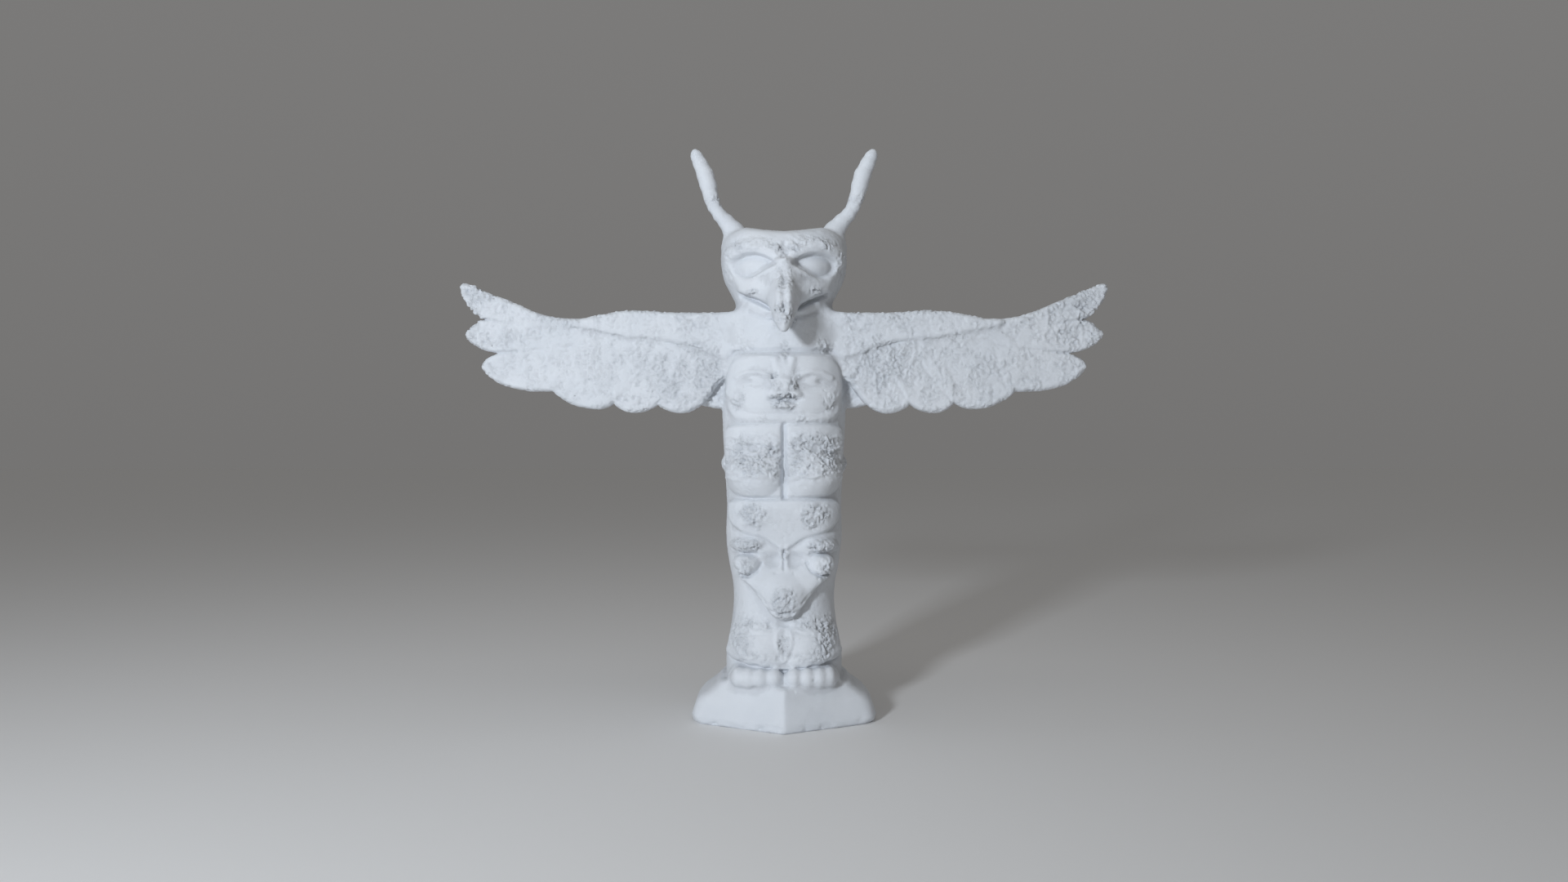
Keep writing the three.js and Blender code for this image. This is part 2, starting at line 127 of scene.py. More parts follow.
# How far the beak's flanks reach across the face, at heights
BEAK_FLANKS = np.array([
    (489, 18), (492, 24), (496, 34), (501, 47), (505, 57), (509, 60), (515, 54), (522, 43),
    (529, 30), (536, 17), (544, 7),
])
# The line of the mouth, where the cheeks end below: half width and height
MOUTH_LINE = np.array([
    (0, 486), (17, 489.5), (26, 494.5), (38, 500), (50, 504), (57, 507.5), (62, 514),
])
# The flanks: rise at the middle, how round they are there, how they fall, and their soft edges
FLANK_RISE = 24
FLANK_ROUND = 6
FLANK_POWER = 1.5
FLANK_EDGE = 3
FLANK_FADE_BELOW = 4
FLANK_FADE_ABOVE = 8
# The cheeks: rise, how sharp their lower edge is, and where they fade above and at the side
CHEEK_RISE = 5.5
CHEEK_EDGE = 4
CHEEK_FADE_ABOVE = (30, 6)
CHEEK_FADE_ASIDE = (64, 50)

# A horn: middle across and up, and its radius
HORN = [
    (57, 575, 18), (61.5, 589, 12.8), (70, 600, 9.8), (78.5, 609, 8.2), (85.5, 619.5, 7.7),
    (89, 631, 8.7), (92.3, 645, 10.1), (96.2, 658, 10.2), (102.3, 671.5, 8.8), (106.6, 680.5, 7.3),
    (108.3, 684.2, 5.4),
]
HORN_FORWARD = 3

# The wings: feathers that overlap like shingles under the thick band of the arm
ARM_BAND = [
    (46, 489), (62, 487), (84, 486), (127, 486), (168, 489.5), (199, 488.5), (220, 484),
    (246, 479.5), (266, 480), (264, 470), (247, 468), (228, 465), (204, 458.5), (180, 454.8),
    (151, 452.8), (127, 449), (105, 442), (84, 432), (71, 429), (62, 434), (46, 446),
]
WEB = [
    (46, 482), (200, 482), (262, 474), (330, 468), (320, 430), (290, 404), (262, 390), (200, 388),
    (110, 380), (88, 372), (46, 372),
]
PRIMARIES = [
    [(212, 452), (280, 448), (349, 439.5), (363, 429.5), (367.5, 423.5), (361, 414), (350, 406),
     (335, 398), (312, 393.5), (276, 392), (220, 396)],
    [(220, 472), (280, 476), (330, 478), (366, 481), (377, 473), (387, 463.5), (385, 457),
     (374, 447.5), (349, 438), (300, 441), (230, 443)],
    [(210, 476), (246, 479), (266, 480.5), (296, 486), (328, 501), (360, 513), (376, 521),
     (388, 525), (392.8, 521), (391, 512), (385, 499), (375, 488), (365, 480), (320, 470.5),
     (250, 464)],
]
SECONDARIES = [
    [(150, 446), (170, 462), (240, 476), (280, 458), (293, 424), (280, 393), (268, 383.5),
     (252, 375), (234, 371), (218, 371.5), (203, 378), (172, 410)],
    [(112, 440), (150, 460), (176, 456), (198, 424), (207, 395), (206, 379), (195, 369.5),
     (182, 366), (166, 368), (151, 375), (126, 404)],
    [(46, 446), (110, 452), (138, 430), (153, 395), (153, 376), (138, 368), (121, 365),
     (104, 371), (89, 386), (77, 404), (64, 410), (46, 412)],
]
WING_END = 392.5
WING_X = (36, 404)
WING_Z = (355, 536)
ROOT_FORWARD = 32
TIP_FORWARD = 12
ROOT_HALF_THICKNESS = 9.6
TIP_HALF_THICKNESS = 5.0
ROOT_RIM = 7.5
TIP_RIM = 4.6
# How far the web stands back in the armpit, and where it comes forward again
WEB_BACK = 12
WEB_BACK_END = (140, 90)
WEB_BACK_TOP = (438, 418)
FEATHER_STEP = 0.3
BAND_STEP = 3.6

# The block: its plan, and how wide and deep it is at heights, as shares
BLOCK_HALF_WIDTH = 110
BLOCK_HALF_DEPTH = 98
BLOCK_CORNER = 2.2
BLOCK_REACH = 130
BLOCK_PLAN = [
    (0, 1.03), (0.05, 1.005), (0.83, 0.594), (0.94, 0.536), (1, 0.42), (1, 0.2), (1, -0.2),
    (0.93, -0.5), (0.72, -0.8), (0.38, -0.95), (0, -0.97),
]
BLOCK_LEVELS = np.array([
    (0, 0.94, 0.965), (3, 0.985, 0.985), (8, 1, 1), (20, 0.965, 1), (26, 0.945, 1), (32, 0.9, 0.995),
    (37.5, 0.825, 0.99), (43.5, 0.75, 0.98), (50, 0.7, 0.95),
])

# Toes: middle, half width and how far forward
TOES = [(11.5, 9.5, 77), (27, 9, 76), (41, 8.4, 72.5), (53, 7.4, 65.5)]
TOE_MIDDLE = 60
TOE_HALF_HEIGHT = 10.8
TOE_HALF_LENGTH = 13
# The foot behind the toes and the stone between the feet: middle and halves
INSTEP = ((31, -46, 55), (35, 33, 14))
BETWEEN_FEET = ((0, -58, 53), (8, 23, 12))

# How softly the forms run into each other
HORN_JOIN = 8
HORN_PART_JOIN = 2
BEAK_JOIN = 9
FEATHER_JOIN = 1.6
ARMPIT_JOIN = 4
SHOULDER_JOIN = 10
SHOULDER_RANGE = (436, 466)  # heights between the armpit's join and the shoulder's
INSTEP_JOIN = 4
TOE_JOIN = 5.5
FEET_JOIN = 3
BUMP_JOIN = 3
BLOCK_JOIN = 5


def ease(t):
    t = np.clip(t, 0, 1)
    return t * t * (3 - 2 * t)


def faded(value, start, end):
    """From 0 at the start to 1 at the end, softly, whichever of the two is the larger."""
    return ease((value - start) / (end - start))


def mix(a, b, share):
    return a + (b - a) * share


def bell(offset, width):
    return np.exp(-((offset / width) ** 2))


def soft_union(a, b, reach):
    """The nearer of two distances, with the crease between them filled over a reach."""
    share = np.clip(0.5 + 0.5 * (b - a) / reach, 0, 1)
    return mix(b, a, share) - reach * share * (1 - share)


def rounded(outline, times=2):
    """An outline with its corners cut off again and again, which makes them round."""
    points = np.array(outline, float)
    for _ in range(times):
        ahead = np.roll(points, -1, axis=0)
        points = np.stack([mix(points, ahead, 0.25), mix(points, ahead, 0.75)], 1).reshape(-1, 2)
    return points


def line_distance(x, z, path):
    """How far each place is from a line through a path's points."""
    nearest = np.inf
    for (ax, az), (bx, bz) in zip(path[:-1], path[1:]):
        dx, dz = bx - ax, bz - az
        t = np.clip(((x - ax) * dx + (z - az) * dz) / (dx * dx + dz * dz), 0, 1)
        nearest = np.minimum(nearest, np.hypot(x - ax - t * dx, z - az - t * dz))
    return nearest


def outline_distance(x, z, outline):
    """The signed distance to a closed outline, negative inside."""
    closed = [*outline, outline[0]]
    inside = np.zeros(np.broadcast(x, z).shape, bool)
    for (ax, az), (bx, bz) in zip(closed[:-1], closed[1:]):
        if az != bz:
            inside ^= ((az > z) != (bz > z)) & (x < (bx - ax) * (z - az) / (bz - az) + ax)
    distance = line_distance(x, z, closed)
    return np.where(inside, -distance, distance)


def kept(function, x_range, z_range, step=0.5):
    """A function of (x, z) worked out once on a grid, and read from it afterwards."""
    xs = np.arange(x_range[0], x_range[1] + step, step)
    zs = np.arange(z_range[0], z_range[1] + step, step)
    table = function(xs[:, None], zs[None, :])

    def look_up(x, z):
        column = np.clip((x - xs[0]) / step, 0, len(xs) - SHORT_OF_END)
        row = np.clip((z - zs[0]) / step, 0, len(zs) - SHORT_OF_END)
        i, k = column.astype(int), row.astype(int)
        lower = mix(table[i, k], table[i + 1, k], column - i)
        upper = mix(table[i, k + 1], table[i + 1, k + 1], column - i)
        return mix(lower, upper, row - k)

    return look_up


# Relief features: each is a function of (x, z) that gives how far the front stands out


def dome(x, z, half_width, half_height, rise, tilt=0, power=1.5):
    """A swelling or hollow; the lower the power, the steeper its rim."""
    turn = math.radians(tilt)

    def feature(px, pz):
        across = (px - x) * math.cos(turn) + (pz - z) * math.sin(turn)
        up = (pz - z) * math.cos(turn) - (px - x) * math.sin(turn)
        left = np.maximum(1 - (across / half_width) ** 2 - (up / half_height) ** 2, 0)
        return rise * left**power

    return feature


def stroke(path, half_width, rise):
    """A soft line along a path, raised or, with a negative rise, cut in."""
    return lambda px, pz: rise * ease(1 - line_distance(px, pz, path) / half_width)


def field(outline, rise, edge):
    """Raised evenly inside an outline; one that starts and ends at x = 0 is mirrored there."""
    mirrored = [(-x, z) for x, z in outline[-2:0:-1]] if outline[0][0] == 0 else []
    closed = rounded([*outline, *mirrored])
    return lambda px, pz: rise * ease(0.5 - outline_distance(px, pz, closed) / edge)


def fading(feature, full, gone):
    """A feature that fades out between two heights."""
    return lambda px, pz: feature(px, pz) * faded(pz, gone, full)


def beak_flanks(px, pz):
    """The beak's root, which slopes down to both sides across the face."""
    reach = np.interp(pz, BEAK_FLANKS[:, 0], BEAK_FLANKS[:, 1])
    lowest = BEAK_FLANKS[0, 0] - FLANK_EDGE
    highest = BEAK_FLANKS[-1, 0] + FLANK_EDGE
    shown = faded(pz, lowest, lowest + FLANK_FADE_BELOW)
    shown = shown * faded(pz, highest, highest - FLANK_FADE_ABOVE)
    out = np.hypot(px, FLANK_ROUND) - FLANK_ROUND
    return FLANK_RISE * shown * np.maximum(1 - out / reach, 0) ** FLANK_POWER


def cheeks(px, pz):
    """The swelling over the mouth, which ends sharply at the mouth's line and softly above."""
    over = pz - np.interp(px, MOUTH_LINE[:, 0], MOUTH_LINE[:, 1])
    shown = ease(0.5 + over / CHEEK_EDGE) * faded(over, *CHEEK_FADE_ABOVE) * faded(px, *CHEEK_FADE_ASIDE)
    return CHEEK_RISE * shown


BIRD_FACE = [
    stroke([(66, 545), (59, 556), (42, 561), (24, 558), (8, 546)], 12, 3.5),
    field([(6, 535.5), (12, 542), (22, 548), (32, 551), (43, 551), (54, 547.5), (59, 541), (57, 531),
           (49, 525), (38, 522.5), (27, 525), (19, 529), (11, 533)], -9, 4.5),
    dome(34, 535, 27, 14, 8.2, tilt=5, power=0.8),
    stroke([(64, 560), (50, 568), (30, 572), (0, 569)], 6, -1.2),
    stroke([(0, 562), (0, 546)], 4, -2.2),
    stroke([(9, 560), (9, 548)], 5, 1.2),
    beak_flanks,
    cheeks,
    stroke([(58, 506), (47, 501.5), (33, 495.5), (18, 488)], 4.5, -7.5),
    stroke([(47, 494), (36, 491), (24, 486), (0, 481)], 7, 2.6),
    stroke([(46, 485), (28, 479), (0, 476)], 5, -2.2),
]

HUMAN_FACE = [
    stroke([(60, 438.5), (30, 437), (0, 437.5)], 6, -4.6),
    field([(0, 434), (48, 434), (62, 424), (64, 396), (61, 376), (57, 362), (48, 355.5),
           (0, 354.5)], 5, 9),
    dome(31, 401, 25, 13, -4),
    stroke([(49, 407), (40, 411.5), (27, 413), (15, 408), (9, 398)], 5, 3),
    dome(31, 403, 14, 7, 3.2),
    dome(38, 402.5, 7, 3.6, -2.6),
    stroke([(9, 428), (5.5, 411), (8, 394)], 6.5, 3.4),
    stroke([(0, 424), (0, 394)], 7, 3),
    field([(0, 408), (7, 404), (13, 393), (18, 386.5), (14, 383.5), (0, 383.5)], 5.5, 7),
    dome(8, 399, 3.5, 6, -2.6),
    dome(0, 381, 20, 4.4, -5, power=1),
    dome(0, 374.5, 16, 5.5, 4.5),
    stroke([(13, 376), (5, 375), (0, 376)], 1.8, -2.4),
    stroke([(12, 370.5), (0, 369.8)], 2.4, -1.6),
    stroke([(60, 384), (52, 372), (36, 366), (16, 365.5), (0, 366)], 6, -1.8),
    dome(52, 385, 13, 12, 2),
]


# The wavy ledges that cross the chest panels: height and rise
LEDGES = [(291, 1.6), (298, 1.4), (305, 2.2), (313, 1.6), (322, 2.8), (331, 1.8), (339, 1.2)]
LEDGE_HALF_WIDTH = 3.2
LEDGE_PLACES = range(6, 62, 3)
LONG_WAVE_RISE = 2.2
LONG_WAVE = 8
SHORT_WAVE_RISE = 1.6
SHORT_WAVE = 3.1
WAVE_LAG = 1.7  # how far the waves of a ledge lag behind, for each unit of its height


def torso_ledge(z, rise):
    lag = z * WAVE_LAG
    path = []
    for x in LEDGE_PLACES:
        long_wave = LONG_WAVE_RISE * math.sin(x / LONG_WAVE + lag)
        short_wave = SHORT_WAVE_RISE * math.sin(x / SHORT_WAVE + 2 * lag)
        path.append((x, z + long_wave + short_wave))
    return stroke(path, LEDGE_HALF_WIDTH, rise)


FOLDED_LIMBS = [
    field([(0, 352), (57, 352), (65, 344), (66, 286), (60, 274), (48, 267.5), (0, 268)], 5, 5),
    dome(32.5, 294, 32, 28, 15, power=1),
    dome(34, 340, 34, 14, 2),
    stroke([(0, 351), (0, 268)], 4.6, -6.5),
    stroke([(0, 340), (0, 290)], 9, -1.6),
    *[torso_ledge(z, rise) for z, rise in LEDGES],
]

BEAST_FACE = [
    fading(field([(0, 265), (60, 265), (64, 254), (62, 238), (52, 229), (36, 223.5), (24, 219.5),
                  (10, 210.5), (0, 204)], 8, 6), 275, 140),
    dome(40, 213, 32, 13, 3.5, tilt=22),
    dome(36, 245, 27, 19, 3),
    dome(0, 206, 52, 50, -10, power=1.3),
    dome(45, 211, 22, 9, 8.5, tilt=-12, power=0.9),
    dome(45.8, 189, 14.4, 12, 13, power=0.6),
    dome(0, 195, 38, 13, -2.5),
    dome(17, 193, 17, 13, -4),
    stroke([(4, 208), (4, 186)], 6, 2),
    stroke([(31, 190), (34, 181), (42, 175.5), (51, 176), (59, 183)], 3.2, -4),
    stroke([(34, 201), (46, 201.5), (60, 206)], 3.4, -3),
    stroke([(0, 205), (0, 184)], 3, -2.6),
    dome(0, 203.5, 5, 4, -1.8),
    dome(1, 197.5, 5, 4, 2.6),
    fading(field([(0, 192), (28, 190), (46, 184), (58, 177), (50, 170.5), (40, 162), (26, 146.5),
                  (16, 134), (6, 127), (0, 125.4)], 11, 5), 166, 192),
    dome(0, 150, 28, 30, 10),
    stroke([(46, 169), (33, 158), (20, 146)], 3.2, -2.6),
    stroke([(22, 140), (10, 135.5), (0, 134)], 2.8, -2.6),
    dome(12, 179, 3.5, 3, -1.6),
]

THIGH_FOLDS = (108, 114, 120)  # heights

LEGS = [
    dome(36, 99, 34, 36, 7),
    *[stroke([(14, z + 4), (24, z + 1), (36, z + 1.5), (48, z + 6)], 3, -1.5) for z in THIGH_FOLDS],
    stroke([(0, 126), (0, 76)], 12, -4),
    field([(0, 118), (9, 115), (10.5, 102), (6, 86), (0, 73)], 3.4, 4),
    stroke([(0, 112), (1.5, 96), (0, 82)], 3, -0.8),
    fading(field([(0, 190), (80, 190), (80, 84), (70, 81), (62, 80), (55, 75.5), (47, 77), (38, 73),
                  (30, 75), (22, 71.5), (14, 72.5), (7, 69), (0, 68)], 6.5, 4.5), 92, 150),
    stroke([(64, 87), (42, 82), (20, 80), (0, 77)], 7, 1.6),
    stroke([(64, 77), (47, 72.5), (30, 71), (14, 69), (0, 65)], 3.5, -3),
    field([(3, 73), (60, 73), (62, 48), (3, 48)], 5, 5),
]

FEATURES = [*BIRD_FACE, *HUMAN_FACE, *FOLDED_LIMBS, *BEAST_FACE, *LEGS]
RELIEF_X = (0, 72)
RELIEF_Z = (40, 592)
relief = kept(lambda x, z: sum(feature(x, z) for feature in FEATURES), RELIEF_X, RELIEF_Z)


def profile(z, column):
    """A smooth curve through one column of the silhouette, with slopes from its neighbours."""
    heights, values = SILHOUETTE[:, 0], SILHOUETTE[:, column]
    slopes = np.gradient(values, heights)
    z = np.clip(z, heights[0], heights[-1])
    i = np.clip(np.searchsorted(heights, z) - 1, 0, len(heights) - 2)
    span = heights[i + 1] - heights[i]
    t = (z - heights[i]) / span
    return (
        (2 * t**3 - 3 * t**2 + 1) * values[i]
        + (t**3 - 2 * t**2 + t) * span * slopes[i]
        + (3 * t**2 - 2 * t**3) * values[i + 1]
        + (t**3 - t**2) * span * slopes[i + 1]
    )


def pole_distance(x, y, z):
    """The pole with its carved front, and the crown rounded over at the top."""
    half_width = profile(z, 1)
    depth = np.where(y < 0, profile(z, 2), profile(z, 3))
    across, along = x / half_width, np.abs(y) / depth
    spread = np.maximum((across**SECTION_POWER + along**SECTION_POWER) ** (1 / SECTION_POWER), TINY)
    radius = np.maximum(np.hypot(x, y), TINY) / spread
    share = across / spread
    carving = relief(share * RELIEF_SIDE, z) * ease((1 - share) / (1 - CARVED_SHARE)) * (y < 0)
    out = np.maximum(spread - carving / radius, 0)
    lift = CROWN_LIFT - CROWN_DIP * (1 - np.minimum(x / CROWN_CORNER, 1) ** 2)
    up = np.maximum(z - HEAD_TOP, 0) / lift
    whole = (out**CROWN_POWER + up**CROWN_POWER) ** (1 / CROWN_POWER)
    slope = CROWN_POWER - 1
    steepness = np.hypot(out**slope / radius, up**slope / lift) / np.maximum(whole, TINY) ** slope
    return np.maximum((whole - 1) / np.maximum(steepness, TINY), BLOCK_TOP - POLE_SUNK - z)


def beak_distance(x, y, z):
    """The beak's hook, level by level, with ridges, a groove and a pit along its back."""
    height = np.clip(z, BEAK[0, 0], BEAK[-1, 0])
    front, back, half_width = (np.interp(height, BEAK[:, 0], BEAK[:, k]) for k in (1, 2, 3))
    ridged = faded(z, *RIDGE_TOP) * faded(z, *RIDGE_END)
    ridge = RIDGE_RISE * bell(x - RIDGE_ASIDE, RIDGE_WIDTH)
    groove = GROOVE_DEPTH * bell(x, GROOVE_WIDTH)
    front = front + ridged * (ridge - groove)
    pit_across, pit_up = x / PIT_HALF_WIDTH, (z - PIT_HEIGHT) / PIT_HALF_HEIGHT
    front = front - PIT_DEPTH * np.exp(-(pit_across**2) - pit_up**2)
    half_depth = (front - back) / 2
    across = x / half_width
    along = np.abs(y + (front + back) / 2) / half_depth
    spread = (across**BEAK_POWER + along**BEAK_POWER) ** (1 / BEAK_POWER)
    level = (spread - 1) * np.minimum(half_width, half_depth) * CAUTION
    beyond = np.maximum(BEAK[0, 0] - z, z - BEAK[-1, 0])
    tip = np.maximum(level + BEAK_TIP_ROUND, 0) ** 2 + np.maximum(beyond, 0) ** 2
    return np.where(beyond > 0, np.sqrt(tip) - BEAK_TIP_ROUND, level)


def horn_distance(x, y, z):
    nearest = np.full(x.shape, FAR_AWAY)
    for (ax, az, near), (bx, bz, far) in zip(HORN[:-1], HORN[1:]):
        dx, dz = bx - ax, bz - az
        t = np.clip(((x - ax) * dx + (z - az) * dz) / (dx * dx + dz * dz), 0, 1)
        away = np.sqrt((x - ax - t * dx) ** 2 + (z - az - t * dz) ** 2 + (y + HORN_FORWARD) ** 2)
        nearest = soft_union(nearest, away - mix(near, far, t), HORN_PART_JOIN)
    return nearest


def wing_plates():
    """The web's, the feathers' and the band's outline distances, and how thick each one is."""
    feathers = [WEB, *PRIMARIES, *SECONDARIES]
    extras = [i * FEATHER_STEP for i in range(len(feathers))]
    outlines = [*feathers, ARM_BAND]
    extras.append(extras[-1] + BAND_STEP)
    return [
        (kept(lambda x, z, o=rounded(outline): outline_distance(x, z, o), WING_X, WING_Z), extra)
        for outline, extra in zip(outlines, extras)
    ]


PLATES = wing_plates()


def wing_distance(x, y, z):
    """The plates of a wing, each a little thicker than the one below, with round rims."""
    share = np.clip(x / WING_END, 0, 1)
    bare = mix(ROOT_HALF_THICKNESS, TIP_HALF_THICKNESS, share)
    rim = mix(ROOT_RIM, TIP_RIM, share)
    forward = mix(ROOT_FORWARD, TIP_FORWARD, share)
    armpit = WEB_BACK * faded(x, *WEB_BACK_END) * faded(z, *WEB_BACK_TOP)
    nearest = np.full(x.shape, FAR_AWAY)
    for distance, extra in PLATES:
        beside = distance(x, z) + rim
        back = armpit if extra == 0 else 0  # only the web has no extra thickness
        over = np.abs(y + forward - back) - (bare + extra - rim)
        plate = np.minimum(np.maximum(beside, over), 0)
        plate = plate + np.hypot(np.maximum(beside, 0), np.maximum(over, 0)) - rim
        nearest = soft_union(nearest, plate, FEATHER_JOIN)
    return nearest


def whole_plan():
    """The block's outline from above, both sides of it, with its corners rounded."""
    half = [(BLOCK_HALF_WIDTH * across, BLOCK_HALF_DEPTH * ahead) for across, ahead in BLOCK_PLAN]
    return rounded([*half, *[(-x, ahead) for x, ahead in half[-2:0:-1]]], times=3)


BLOCK_OUTLINE = whole_plan()
block_plan = kept(
    lambda x, ahead: outline_distance(x, ahead, BLOCK_OUTLINE),
    (0, BLOCK_REACH), (-BLOCK_REACH, BLOCK_REACH), step=1,
)


def block_distance(x, y, z):
    wide = np.interp(z, BLOCK_LEVELS[:, 0], BLOCK_LEVELS[:, 1])
    deep = np.interp(z, BLOCK_LEVELS[:, 0], BLOCK_LEVELS[:, 2])
    beside = block_plan(x / wide, -y / deep) * CAUTION
    over = z - BLOCK_TOP
    past_side, past_top = (np.maximum(away + BLOCK_CORNER, 0) for away in (beside, over))
    top = np.hypot(past_side, past_top) - BLOCK_CORNER
    return np.maximum(np.maximum(top, np.maximum(beside, over)), -z)


def ellipsoid_distance(x, y, z, middle, halves):
    scaled = np.sqrt(sum(((p - m) / h) ** 2 for p, m, h in zip((x, y, z), middle, halves)))
    return (scaled - 1) * min(halves)


def feet_distance(x, y, z):
    between = ellipsoid_distance(x, y, z, *BETWEEN_FEET)
    nearest = soft_union(between, ellipsoid_distance(x, y, z, *INSTEP), INSTEP_JOIN)
    for across, half_width, forward in TOES:
        middle = (across, -forward, TOE_MIDDLE)
        toe = ellipsoid_distance(x, y, z, middle, (half_width, TOE_HALF_LENGTH, TOE_HALF_HEIGHT))
        nearest = soft_union(nearest, toe, TOE_JOIN)
    return nearest


def cast_distance(x, y, z):
    """The whole cast, for x from nought outwards."""
    whole = soft_union(pole_distance(x, y, z), horn_distance(x, y, z), HORN_JOIN)
    whole = soft_union(whole, beak_distance(x, y, z), BEAK_JOIN)
    shoulder = mix(ARMPIT_JOIN, SHOULDER_JOIN, faded(z, *SHOULDER_RANGE))
    whole = soft_union(whole, wing_distance(x, y, z), shoulder)
    whole = soft_union(whole, feet_distance(x, y, z), FEET_JOIN)
    whole = soft_union(whole, ellipsoid_distance(x, y, z, *SIDE_BUMP), BUMP_JOIN)
    return soft_union(whole, block_distance(x, y, z), BLOCK_JOIN)


# From the distance to a surface: a grid that is fine only near the surface


def fine_grid():
    """The cast's distance at the corners of fine cells, for x from just below nought outwards."""
    ratio = round(COARSE_CELL / FINE_CELL)
    coarse = FINE_CELL * ratio
    start = np.array([-FINE_CELL / 2, cad_low.y / UNIT - coarse, -coarse * LOWEST_CELLS])
    end = np.array([cad_high.x, cad_high.y, cad_high.z]) / UNIT + coarse
    counts = np.ceil((end - start) / coarse).astype(int) + 1
    corners = np.indices(counts).reshape(3, -1)
    middles = start[:, None] + (corners + 0.5 - 0.5 / ratio) * coarse
    guess = distance_at(middles)
    near = np.abs(guess) < coarse * NEAR_SURFACE
    signs = np.where(guess < 0, -1.0, 1.0).astype(np.float32).reshape(counts)
    for axis in range(3):
        signs = np.repeat(signs, ratio, axis=axis)
    inner = np.indices((ratio,) * 3).reshape(3, -1)
    fine = (corners[:, near, None] * ratio + inner[:, None, :]).reshape(3, -1)
    signs[tuple(fine)] = distance_at(start[:, None] + fine * FINE_CELL)
    return start, signs


def distance_at(places):
    """The cast's distance at many places, a stretch at a time to save memory."""
    found = [
        cast_distance(np.abs(part[0]), part[1], part[2])
        for part in np.array_split(places, max(places.shape[1] // MOST_AT_ONCE, 1), axis=1)
    ]
    return np.concatenate(found)


def surface_net(start, values):
    """Points and quads of the surface where the values change sign: a point in each cell."""
    shape = values.shape
    strides = np.array([shape[1] * shape[2], shape[2], 1])
    inside = values < 0
    quads, crossings = [], []
    for axis in range(3):
        b, c = (axis + 1) % 3, (axis + 2) % 3
        ahead = [slice(None)] * 3
        behind = [slice(None)] * 3
        ahead[axis], behind[axis] = slice(1, None), slice(None, -1)
        here = np.array(np.nonzero(inside[tuple(ahead)] != inside[tuple(behind)]))
        there = here.copy()
        there[axis] += 1
        low, high = values[tuple(here)], values[tuple(there)]
        place = here.astype(float)
        place[axis] += low / (low - high)
        cell = strides @ here
        ring = np.stack([cell, cell - strides[b], cell - strides[b] - strides[c], cell - strides[c]], 1)
        leaving = low < 0
        ring = np.where(leaving[:, None], ring, ring[:, ::-1])
        quads.append(ring)
        crossings.append(np.repeat(place.T[:, None, :], 4, axis=1))
    quads, crossings = np.concatenate(quads), np.concatenate(crossings)
    cells, index = np.unique(quads, return_inverse=True)
    index = index.reshape(quads.shape)
    count = np.bincount(index.ravel())
    points = [np.bincount(index.ravel(), crossings[..., k].ravel()) / count for k in range(3)]
    return np.array(points).T * FINE_CELL + start, index


def half_surface():
    """The surface from x = 0 outwards, with its edge exactly on x = 0."""
    points, quads = surface_net(*fine_grid())
    on_middle = np.abs(points[:, 0]) < FINE_CELL / 2
    beyond = (points[:, 0] < 0) & ~on_middle
    quads = quads[~beyond[quads].any(axis=1)]
    points[on_middle, 0] = 0
    return points, quads[~on_middle[quads].all(axis=1)]


def both_halves(points, quads):
    """The half surface mirrored at x = 0 into one closed surface."""
    on_middle = points[:, 0] == 0
    mirror = np.where(on_middle, np.arange(len(points)), 0)
    mirror[~on_middle] = len(points) + np.arange((~on_middle).sum())
    all_points = np.concatenate([points, points[~on_middle] * (-1, 1, 1)])
    return all_points, np.concatenate([quads, mirror[quads][:, ::-1]])


def quad_normals(points, quads):
    """A normal for each point, from the quads round it."""
    corner = points[quads]
    faces = np.cross(corner[:, 2] - corner[:, 0], corner[:, 3] - corner[:, 1])
    normals = [np.bincount(quads.ravel(), np.repeat(faces[:, k], 4), len(points)) for k in range(3)]
    normals = np.array(normals).T
    return normals / np.maximum(np.linalg.norm(normals, axis=1, keepdims=True), LEAST_LENGTH)


# The rough skin

LATTICE_SIZE = 64
LATTICE = np.random.default_rng(7).uniform(-1, 1, (LATTICE_SIZE,) * 3).astype(np.float32)


def noise(places, size, shift=0):
    """Smooth noise between -1 and 1, in lumps about as wide as the size."""
    scaled = places / size + shift
    cell = np.floor(scaled).astype(int)
    i, j, k = (cell % LATTICE_SIZE).T
    i2, j2, k2 = ((cell + 1) % LATTICE_SIZE).T
    u, v, w = ease(scaled - cell).T

    def layer(level):
        near = mix(LATTICE[i, j, level], LATTICE[i2, j, level], u)
        far = mix(LATTICE[i, j2, level], LATTICE[i2, j2, level], u)
        return mix(near, far, v)

    return mix(layer(k), layer(k2), w)


# The skin's noises: how wide their lumps are, and a shift that sets each one apart
LARGE_PATCHES = (19, 41)
SMALL_PATCHES = (8, 43)
COARSE_CHIPS = (3.3, 11)
FINE_CHIPS = (1.9, 23)
LUMPS = (7.5, 0)
COARSE_PITS = (3.9, 31)
FINE_PITS = (2.2, 37)
SLOW_SWELL = (24, 5)
QUICK_SWELL = (11, 9)
NICKS = (9, 17)
CHIP_CONTRAST = 1.4
PATCH_CONTRAST = 1.1


def flat_topped(points, size, shift):
    """Noise with broad tops and bottoms, from 0 to 1."""
    return ease(0.5 + CHIP_CONTRAST * noise(points, size, shift))


